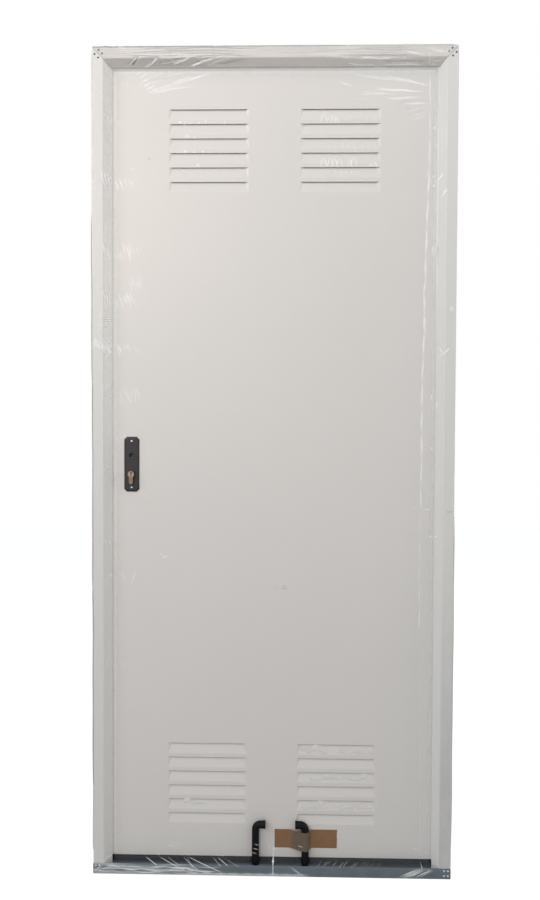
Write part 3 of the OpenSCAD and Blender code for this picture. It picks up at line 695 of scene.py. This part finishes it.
def crease_film_edge():
    """The edge of a turn of film, which runs down near the right of the leaf. Its milky line is partly a
    painted glint, stronger higher up.
    """
    line = [(379, 1996), (381, 1909), (381, 1763), (376, 1617), (373, 1482), (371, 1453), (372, 1360),
            (368, 1236), (368, 980), (366, 789), (367, 560), (374, 42)]
    for start, end in zip(line, line[1:]):
        pieces = max(1, round((start[1] - end[1]) / 60))
        for i in range(pieces):
            high = Vector(start).lerp(Vector(end), i / pieces)
            low = Vector(start).lerp(Vector(end), (i + 1.15) / pieces)
            edge_strength = 1.0 if high.y > 950 else (0.6 if high.y > 650 else 0.16)
            wide = 5.0 if 1100 < high.y < 1850 else 3.4
            stroke(*high, *(low - high), 0.0, wide, min(1.0, edge_strength * vary(0.7, 1.2)))
    for i in range(9):
        x = 372 + vary(-2, 2)
        stroke(x, 1452 - 11 * i, 374 + vary(-4, 4) - x, -13, 0.0, 5, 0.6)


def crease_louvres():
    for x, z, count, spacing, size in (
            (140, 1866, 4, 11, 24), (142, 1759, 4, 12, 24), (189, 1759, 2, 11, 26),
            (243, 1759, 2, 10, 16), (-209, 1865, 3, 22, 9), (-206, 1830, 2, 22, 10),
            (-208, 1794, 4, 22, 10), (-190, 1759, 1, 9, 11)):
        arrowheads(x, z, count, spacing, size)
    for x, z, width, count in (
            (190, 1880, 130, 7), (190, 1806, 130, 8), (170, 1745, 90, 6), (-170, 1870, 150, 3)):
        pucker(x, z, width, 20, count, 0.1, 0.6)
    for centre, z, width, count in (
            (106, 308, 60, 5), (212, 308, 80, 7), (175, 237, 150, 11), (110, 166, 60, 5),
            (205, 166, 90, 8), (-190, 172, 60, 4)):
        for i in range(count):
            x = centre + width * ((i + 0.5) / count - 0.5) + vary(-4, 4)
            low = z + vary(-7, 3)
            stroke(x - 9, low, 18, vary(-4, 8), vary(-3, 3), vary(8, 14), vary(0.1, 0.3))


# Creases over the sill and at the leaf's foot: their milky white over the dark steel is partly painted
# highlights.
def crease_bottom():
    for leaf_x, flange_x, flange_z, milk_and_painted_light in (
            (-318, -285, 24, 0.8), (-282, -205, 6, 0.6), (-222, -177, 9, 0.5), (-208, -121, 7, 0.8),
            (-213, -190, 12, 0.35), (-146, -125, 23, 0.4), (-134, -108, 25, 0.7), (-262, -225, 22, 0.35),
            (-120, -75, 20, 0.25)):
        sill_streak(leaf_x, flange_x, flange_z, milk_and_painted_light)
    stroke(-267, 61, 28, -8, 1.0, 3.5, 0.5)
    stroke(-255, 66, 30, -6, 1.0, 3, 0.3)
    stroke(-418, 27, 19, 15, 0.0, 4, 0.7)
    stroke(-427, 27, 19, 13, 0.0, 3.5, 0.5)
    stroke(46, 25, 34, -22, 0.0, 4, 0.4)
    for i in range(12):
        x = 110 + 14 * i + vary(-5, 5)
        z = 25 + vary(0, 3)
        stroke(x, z, 14, 31 - z, 0.0, 2.6, vary(0.08, 0.3))
    for x, z, run_x, run_z, width, milk_and_painted_light in (
            (318, 2, 48, 23, 3, 0.7), (326, 2, 48, 23, 5, 0.5), (336, 2, 41, 22, 3, 0.8),
            (344, 3, 37, 19, 3, 0.6), (357, 2, 45, 22, 3, 0.8), (366, 3, 36, 17, 4, 0.4),
            (374, 32, -1, -10, 2.6, 0.4), (386, 14, 9, 11, 3, 0.5), (330, 2, 36, 12, 4, 0.3)):
        stroke(x, z, run_x, run_z, 1.0, width, milk_and_painted_light)
    for i in range(24):
        z = 4 + 17 * ((i * GOLDEN + 0.2) % 1.0)
        rise = min(22, max(2, z + vary(-6, 6))) - z
        stroke(-440 + 11 * i, z, vary(40, 80), rise, vary(-3, 3), vary(2.5, 5), vary(0.35, 0.8))
    for i in range(6):
        stroke(-440 + 12 * i, 8 + 2 * i, 22, 12 - 2 * i, vary(-3, 3), 4, 0.5)
    for i in range(9):
        stroke(-215 + 33 * i, 4, 45, -0.5, 1.0, 6, 0.6 - 0.03 * i)
    stroke(350, 64, 28, -9, 0.0, 3.5, 0.5)


def crease_over_levers():
    """Creases that stand in front of the levers and the tape: painted glints on the film over them."""
    for x, z in ((-43, 78), (-46, 67), (-50, 57)):
        stroke(x, z, 15, -4, 0.0, 2.2, 0.5, lift=LEVER_FRONT)
    stroke(66, 76, 14, -6, 0.0, 2.4, 0.6, lift=LEVER_FRONT + 1.0)
    stroke(-8, 60, 5, -4, 0.0, 3.5, 0.7)
    stroke(2, 55, 12, 0, 1.0, 3.5, 0.8)


# Clear film: the sheets

LEAF_FILM_W = 810.0
LEAF_FILM_TOP = 2004.0
LEAF_FILM_LOW = 36.0
CELL = 13.5
LEVERS_LEFT = -60.0
LEVERS_TOP = 145.0
PLATE_LOW, PLATE_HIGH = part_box("lock_plate_front")
TAPE_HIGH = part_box("tape_strip")[1]


def near_fittings(x, z):
    """Whether the film is cut away here, round the lock plate or over the levers and the tape."""
    plate = (PLATE_LOW.x / MM - CELL < x < PLATE_HIGH.x / MM + CELL
             and PLATE_LOW.z / MM - CELL < z < PLATE_HIGH.z / MM + CELL)
    levers = LEVERS_LEFT < x < TAPE_HIGH.x / MM + CELL and z < LEVERS_TOP
    return plate or levers


def lay_leaf_film():
    film = Film("film_leaf", "leaf")
    columns = round(LEAF_FILM_W / CELL)
    rows = round((LEAF_FILM_TOP - LEAF_FILM_LOW) / CELL)
    grid = []
    for j in range(rows + 1):
        z = LEAF_FILM_LOW + (LEAF_FILM_TOP - LEAF_FILM_LOW) * j / rows
        row = []
        for i in range(columns + 1):
            x = LEAF_FILM_W * (i / columns - 0.5)
            if near_fittings(x, z):
                row.append(None)
                continue
            wave = math.sin(x / 31 + z / 55) * math.sin(z / 47 - x / 83)
            doubled = 0.07 if x > 372 else 0.0
            row.append(((x, LEAF_Y - FILM_OFF - 0.15 - 0.15 * wave, z), 0.03 + doubled))
        grid.append(row)
    film.grid(grid)
    sheet = film.build()


def frame_film_profile(off):
    """Across the frame's film, from its side over its face and splay: how far in it is and its depth,
    in mm. Off is how far it stands off them."""
    profile = [(-0.4, FACE_Y + share * SIDE_FILM) for share in (1, 0.5, 0.03)]
    profile += [(0.8 + i * (FACE_W - 1.1) / 9, FACE_Y - off) for i in range(10)]
    profile += [(FACE_W + i * (SPLAY_W - 0.4) / 6, FACE_Y + i * SPLAY_D / 6 - off) for i in range(1, 7)]
    return profile


def left_jamb_look(u, z):
    """How milky and grey the left jamb's film is: clear on its face, milkier up its splay and in a band
    about its middle: painted light on the splay.
    """
    splay_band = 0.3 * math.exp(-((z - 1500) / 380) ** 2)
    return (0.08 + 0.24 * z / FRAME_TOP + splay_band if u > FACE_W else 0.06), 0.1


def right_jamb_look(u, z):
    """How milky and grey the right jamb's film is: grey low down on its face, which is painted shade."""
    low = ramp(z, 1000, 300)
    return (0.16, 0.1) if u > FACE_W else (0.06 + 0.26 * low, 0.1 + 0.55 * low)


def lay_jamb_film(name, side, look):
    film = Film(name, "frame")
    profile = frame_film_profile(0.33)
    steps = 140
    grid = []
    for j in range(steps + 1):
        row = []
        for u, y in profile:
            top = FRAME_TOP - u
            z = FLANGE_Z + 1.0 + (top - FLANGE_Z - 1.0) * j / steps
            ripple = 0.05 * math.sin(z / 17 + u) if u > 1 else 0.0
            proud = max(0.0, math.sin(z / 31) * math.sin(z / 87 + side)) if u < 0 else 0.0
            row.append(((side * (HALF_W - u + 1.5 * proud), y - abs(ripple), z), *look(u, z)))
        grid.append(row)
    film.grid(grid)
    film.build()


def side_bridge(side, share, lip_y):
    """Across the bridge at a jamb, share of the way up: how far from the lip, how deep, how milky and
    how grey it is. Its grey line at the lip is painted shade, and past it at the left it is pale, painted
    light over the shade beside the lip."""
    grey = 0.9 - 0.4 * share if side < 0 else 0.7
    milk_and_painted_light = 0.2 + 0.4 * share if side < 0 else HALF_COVER
    past_lip = (-3.2, LEAF_Y - 1.6) if side < 0 else (-2.0, lip_y + 1.9)
    return ((0.8, lip_y - 0.4, 0.0, 0.0), (-0.4, lip_y + 0.5, 0.35, grey),
            (-1.8, lip_y + 1.8, 0.35, 0.8 * grey), (*past_lip, milk_and_painted_light, 0.0),
            (-8.0, LEAF_Y - 0.3, milk_and_painted_light, 0.0), (-11.0, LEAF_Y - 0.25, 0.0, 0.0))


def bridge_gap():
    """The frame's film where it passes from the lip to the leaf, all round the opening: opaque and
    paint-coloured, with painted shade in a line along the lip and painted light over the shade past it.
    """
    film = Film("film_bridge", "frame", film_on_jamb)
    lip_y = FACE_Y + SPLAY_D - 0.5
    low = FLANGE_Z + 14
    far = HALF_W - OPENING
    top = FRAME_TOP - OPENING
    across_head = (
        (3.6, lip_y - 4.6, 0.0, 0.0), (2.2, lip_y - 2.9, 0.35, 0.9), (0.8, lip_y - 1.2, 0.4, 0.9),
        (0.1, lip_y - 0.2, 0.5, 0.4), (-0.5, lip_y + 0.8, 1.0, 0.0), (-2.0, LEAF_Y - 2.2, 1.0, 0.0),
        (-3.5, LEAF_Y - 0.4, 0.85, 0.0), (-6.0, LEAF_Y - 0.25, 0.35, 0.0),
        (-9.0, LEAF_Y - 0.25, 0.08, 0.0), (-13.0, LEAF_Y - 0.25, 0.0, 0.0))
    for side in (-1, 1):
        rows = []
        for i in range(81):
            z = low + (top - low) * i / 80
            across = side_bridge(side, i / 80, lip_y)
            rows.append([((side * (far + out), y, z), *look) for out, y, *look in across])
        film.grid(rows)
    rows = []
    for i in range(61):
        x = far * (i / 30 - 1)
        rows.append([((x, y, top + out), *look) for out, y, *look in across_head])
    film.grid(rows)
    film.build()


def header_doubled(u, x):
    """How far the header's film is doubled, and so greyer: over its splay at the left."""
    return math.exp(-((x + 250) / 95) ** 2) if u > FACE_W else 0.0


def lay_header_film():
    film = Film("film_header", "frame")
    profile = frame_film_profile(0.6)
    steps = 120
    grid = []
    for i in range(steps + 1):
        row = []
        for u, y in profile:
            x = (HALF_W - u) * (2 * i / steps - 1)
            ripple = 0.25 * math.sin(x / 15 + u) if u > 1 else 0.0
            streak = math.sin(1.1 * u + 1.5 * math.sin(x / 70) + 0.8 * math.sin(x / 31))
            doubled = header_doubled(u, x)
            milk_and_painted_light = 0.22 + 0.05 * streak + 0.12 * doubled
            shade = 0.30 + 0.2 * ramp(x, 0, -250) - 0.1 * streak + 0.3 * doubled
            row.append(((x, y - abs(ripple), FRAME_TOP - u), milk_and_painted_light, shade))
        grid.append(row)
    film.grid(grid)
    film.build()


def sill_milk_and_sheen(x, z):
    """How milky the sill's film is, which over the dark steel is partly a painted sheen: bunched at the
    left, and a painted highlight along its bottom edge.
    """
    left = 0.36 * ramp(x, -150, -270)
    low = 0.45 * ramp(z, 7, 0) * ramp(x, 110, 50)
    corner = 0.12 * math.exp(-(((x - 352) - 2.1 * (z - 13)) / 16) ** 2)
    return 0.05 + max(left * (0.45 + 0.45 * math.sin(x / 31 + z / 3)), low, corner)


def lay_sill_film():
    film = Film("film_sill", "frame")
    profile = [(FLANGE_Y - 0.5, 0.4), (FLANGE_Y - 0.6, 6.0), (FLANGE_Y - 0.6, 12.0), (FLANGE_Y - 0.6, 18.0),
               (FLANGE_Y - 0.5, FLANGE_Z - 0.5), (FLANGE_Y + 0.5, FLANGE_Z + 0.6)]
    steps = 110
    grid = []
    for i in range(steps + 1):
        x = (HALF_W + 0.3) * (2 * i / steps - 1)
        grid.append([((x, y - 0.3 * abs(math.sin(x / 13)), z), sill_milk_and_sheen(x, z)) for y, z in profile])
    film.grid(grid)
    film.build()


def bridge_sill_gap():
    """The sill's film where it passes from the flange to the leaf's bottom edge: its faint white is a
    painted sheen over the dark gap.
    """
    film = Film("film_gap", "frame", film_in_gap)
    for low_x, high_x in ((-396, -52), (-27, 73), (98, 396)):
        grid = []
        for i in range(31):
            x = low_x + (high_x - low_x) * i / 30
            more = 0.012 * max(0.0, x / 396)
            grid.append([((x, FLANGE_Y + 0.8, FLANGE_Z + 0.9), 0.015 + more),
                         ((x, LEAF_Y - 12, LEAF_Z - 3), 0.03 + more),
                         ((x, LEAF_Y - 1.2, LEAF_Z - 0.5), 0.035 + more)])
        film.grid(grid)
    film.build()


# Tape and strand

TAPE_LEFT = 8.5
TAPE_LEN = 157.0
TAPE_BOTTOM = 58.0
TAPE_W = 47.0
GRIP_X = 85.0
GRIP_Y = -16.0
GRIP_R = 9.3
LIFT_LEFT = 40.0
LIFT_RIGHT = 16.0


def tape_outline():
    """The tape seen from above: flat on the leaf, up to the lever's grip, round it and back."""
    flat_y = LEAF_Y - FILM_OFF
    reach = GRIP_Y - flat_y
    outline = [(TAPE_LEFT + i * (GRIP_X - LIFT_LEFT - TAPE_LEFT) / 8, flat_y) for i in range(9)]
    angles = []
    for lift in (LIFT_LEFT, LIFT_RIGHT):
        angles.append(math.atan2(-reach, lift) + math.asin(GRIP_R / math.hypot(lift, reach)))
    left_arc, right_arc = angles
    first = Vector((GRIP_X - GRIP_R * math.sin(left_arc), GRIP_Y - GRIP_R * math.cos(left_arc)))
    last = Vector((GRIP_X + GRIP_R * math.sin(right_arc), GRIP_Y - GRIP_R * math.cos(right_arc)))
    foot = Vector(outline[-1])
    outline += [tuple(foot.lerp(first, i / 7)) for i in range(1, 7)]
    for i in range(13):
        angle = -left_arc + (left_arc + right_arc) * i / 12
        outline.append((GRIP_X + GRIP_R * math.sin(angle), GRIP_Y - GRIP_R * math.cos(angle)))
    foot = Vector((GRIP_X + LIFT_RIGHT, flat_y))
    outline += [tuple(last.lerp(foot, i / 4)) for i in range(1, 5)]
    end = TAPE_LEFT + TAPE_LEN
    outline += [(foot.x + i * (end - foot.x) / 8, flat_y) for i in range(1, 9)]
    return outline


def lay_tape():
    """The strip of brown tape, with creases where it lifts and a torn right end."""
    outline = tape_outline()
    rows = 16
    points, lifted, faces = [], [], []
    for j in range(rows + 1):
        share = j / rows
        z = TAPE_BOTTOM + TAPE_W * share
        for i, (x, y) in enumerate(outline):
            off = (LEAF_Y - FILM_OFF - y) / 20
            wave = math.sin(x / 2.7 + 7 * share) * math.sin(11 * share + x / 9)
            crumple = 0.5 * wave * off * (1 - off) * 4 + 0.08 * abs(wave)
            torn = vary(-0.8, 0.8) if i == len(outline) - 1 else 0.0
            points.append(((x + torn) * MM, (y - abs(crumple)) * MM, z * MM))
            lifted.append(ramp(off, 0, 1 / 3))
    wide = len(outline)
    for j in range(rows):
        for i in range(wide - 1):
            a = j * wide + i
            faces.append((a, a + 1, a + wide + 1, a + wide))
    mesh = bpy.data.meshes.new("tape")
    mesh.from_pydata(points, [], faces)
    mesh.attributes.new("lifted", "FLOAT", "POINT").data.foreach_set("value", lifted)
    mesh.shade_smooth()
    mesh.materials.append(FINISH["brown_tape"])
    tape = bpy.data.objects.new("tape", mesh)
    bpy.context.scene.collection.objects.link(tape)
    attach(tape, "leaf")
    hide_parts("tape_strip")


STRAND_PATH = [(6, -9, 54), (5.6, -15, 49), (5.3, -24, 43), (5.0, -33, 38), (5.0, -36, 33),
               (5.1, -35.8, 24), (5.0, -35.6, 14), (5.2, -35.6, 2)]
STRAND_KNOT = 37.0


def hang_strand():
    """The twisted tail of film that hangs in front of the sill."""
    film = Film("film_strand", "frame")
    path = []
    for start, end in zip(STRAND_PATH, STRAND_PATH[1:]):
        path += [Vector(start).lerp(Vector(end), i / 5) for i in range(5)]
    rows = []
    for i, spot in enumerate(path):
        radius = 1.5 + 1.8 * math.exp(-((spot.z - STRAND_KNOT) / 2.2) ** 2)
        row = []
        for k in range(6):
            angle = 0.5 * i + 2.4 * k
            place = spot + Vector((radius * math.cos(angle), 0.8 * radius * math.sin(angle), 0))
            row.append((place, 0.9))
        rows.append(row)
    film.grid(rows)
    strand = film.build()


# Small fittings

def deselect():
    bpy.ops.object.select_all(action="DESELECT")


def pick_faces(piece, wanted):
    """Selects the faces that a test on centre and normal wants, in edit mode."""
    bpy.ops.object.mode_set(mode="EDIT")
    bpy.ops.mesh.select_mode(type="FACE")
    bpy.ops.mesh.select_all(action="DESELECT")
    bpy.ops.object.mode_set(mode="OBJECT")
    for face in piece.data.polygons:
        face.select = wanted(face.center, face.normal)
    bpy.ops.object.mode_set(mode="EDIT")


def settle(piece, name, body, finish, smooth=35):
    """Puts a finished piece's place into its mesh, and has it ride on its body."""
    bpy.ops.object.mode_set(mode="OBJECT")
    deselect()
    piece.select_set(True)
    bpy.context.view_layer.objects.active = piece
    bpy.ops.object.transform_apply(location=True, rotation=True, scale=True)
    bpy.ops.object.shade_smooth_by_angle(angle=math.radians(smooth))
    piece.name = name
    piece.data.name = name
    piece.data.materials.clear()
    piece.data.materials.append(FINISH[finish])
    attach(piece, body)


def join_pieces(pieces):
    bpy.ops.object.mode_set(mode="OBJECT")
    deselect()
    for piece in pieces:
        piece.select_set(True)
    bpy.context.view_layer.objects.active = pieces[0]
    bpy.ops.object.join()
    return bpy.context.object


def slotted_head(place, turn, radius, height):
    """A low screw head that faces along -X, with a bevelled rim and a slot."""
    deselect()
    bpy.ops.mesh.primitive_cylinder_add(vertices=24, radius=radius, depth=height, location=place,
                                        rotation=(0, -math.pi / 2, 0))
    head = bpy.context.object
    pick_faces(head, lambda centre, normal: normal.z > 0.9)
    bpy.ops.mesh.inset(thickness=radius * 0.16, depth=0)
    bpy.ops.transform.translate(value=(-height * 0.25, 0, 0))
    bpy.ops.mesh.inset(thickness=radius * 0.12, depth=0)
    bpy.ops.mesh.inset(thickness=radius * 0.5, depth=-height * 0.35)
    bpy.ops.object.mode_set(mode="OBJECT")
    head.rotation_euler.rotate_axis("Z", turn)
    return head


FOREND_LOW, FOREND_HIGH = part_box("lock_forend")


def add_forend_screws():
    centre_y = (FOREND_LOW.y + FOREND_HIGH.y) / 2
    x = FOREND_LOW.x - 0.0001
    heads = [slotted_head((x, centre_y, z), turn, radius, 0.0012)
             for z, turn, radius in ((FOREND_LOW.z + 0.011, 0.4, 0.004), (FOREND_HIGH.z - 0.011, 1.1, 0.004),
                                     (0.999, 0.8, 0.003))]
    settle(join_pieces(heads), "forend_screws", "leaf", "screw_steel")


HINGES = ("lower", "middle", "upper")
CAP_R = 0.0072
CAP_H = 0.0016
CAP_RISE = 0.0007 / 0.33
HINGE_R = 0.0075


def hinge_cap(place, radius):
    """A domed plug over a hinge's bore."""
    deselect()
    bpy.ops.mesh.primitive_cylinder_add(vertices=32, radius=radius, depth=CAP_H, location=place)
    cap = bpy.context.object
    pick_faces(cap, lambda centre, normal: normal.z > 0.9)
    for share in (0.12, 0.2, 0.3):
        bpy.ops.mesh.inset(thickness=radius * share, depth=0)
        bpy.ops.transform.translate(value=(0, 0, CAP_RISE * (0.45 - share)))
    bpy.ops.object.mode_set(mode="OBJECT")
    return cap


def add_hinge_caps():
    caps = []
    for height in HINGES:
        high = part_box("hinge_leaf_" + height)[1]
        caps.append(hinge_cap((high.x - HINGE_R, high.y - HINGE_R, high.z + CAP_H / 2), CAP_R))
    settle(join_pieces(caps), "hinge_caps", "leaf", "black_nylon")


LEAF_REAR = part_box("leaf_back_skin")[1].y
WELD_R = 0.002
WELD_RIPPLE = 0.0026
WELD_START = 0.004
WELD_SHARE = {"leaf": 0.86, "frame": 0.42}


def weld_bead(place, length, radius):
    """A rippled bead that runs up from a place."""
    deselect()
    bpy.ops.mesh.primitive_circle_add(vertices=10, radius=radius * 0.6, fill_type="NGON", location=place)
    bead = bpy.context.object
    bpy.ops.object.mode_set(mode="EDIT")
    bpy.ops.mesh.select_all(action="SELECT")
    ripples = round(length / WELD_RIPPLE)
    for i in range(ripples):
        swell = 1.5 if i == 0 else (1.14 if i % 2 == 0 else 1 / 1.14)
        if i == ripples - 1:
            swell = 0.6
        bpy.ops.mesh.extrude_region_move(TRANSFORM_OT_translate={"value": (0, 0, length / ripples)})
        bpy.ops.transform.resize(value=(swell, swell, 1))
    bpy.ops.mesh.select_all(action="SELECT")
    bpy.ops.mesh.normals_make_consistent(inside=False)
    bpy.ops.object.mode_set(mode="OBJECT")
    return bead


def add_welds():
    for part, share in WELD_SHARE.items():
        beads = []
        for height in HINGES:
            low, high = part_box("hinge_" + part + "_" + height)
            place = (low.x if part == "leaf" else high.x, LEAF_REAR, low.z + WELD_START)
            beads.append(weld_bead(place, (high.z - low.z) * share, WELD_R))
        settle(join_pieces(beads), "hinge_welds_" + part, part, part + "_paint", 60)


# The scene

add_camera()
add_world()
add_floor()
for lamp_row in LAMPS:
    add_lamp(*lamp_row)
finish_cad_nodes()

crease_top_edge()
crease_outer_edge()
crease_top_left()
crease_top_right()
crease_sides()
crease_film_edge()
crease_louvres()
crease_bottom()
crease_over_levers()
for creases in CREASES.values():
    creases.build()
lay_leaf_film()
lay_jamb_film("film_jamb_left", -1, left_jamb_look)
lay_jamb_film("film_jamb_right", 1, right_jamb_look)
bridge_gap()
lay_header_film()
bridge_sill_gap()
lay_sill_film()
lay_tape()
hang_strand()
add_forend_screws()
add_hinge_caps()
add_welds()

scene = bpy.context.scene
scene.view_settings.view_transform = "Standard"
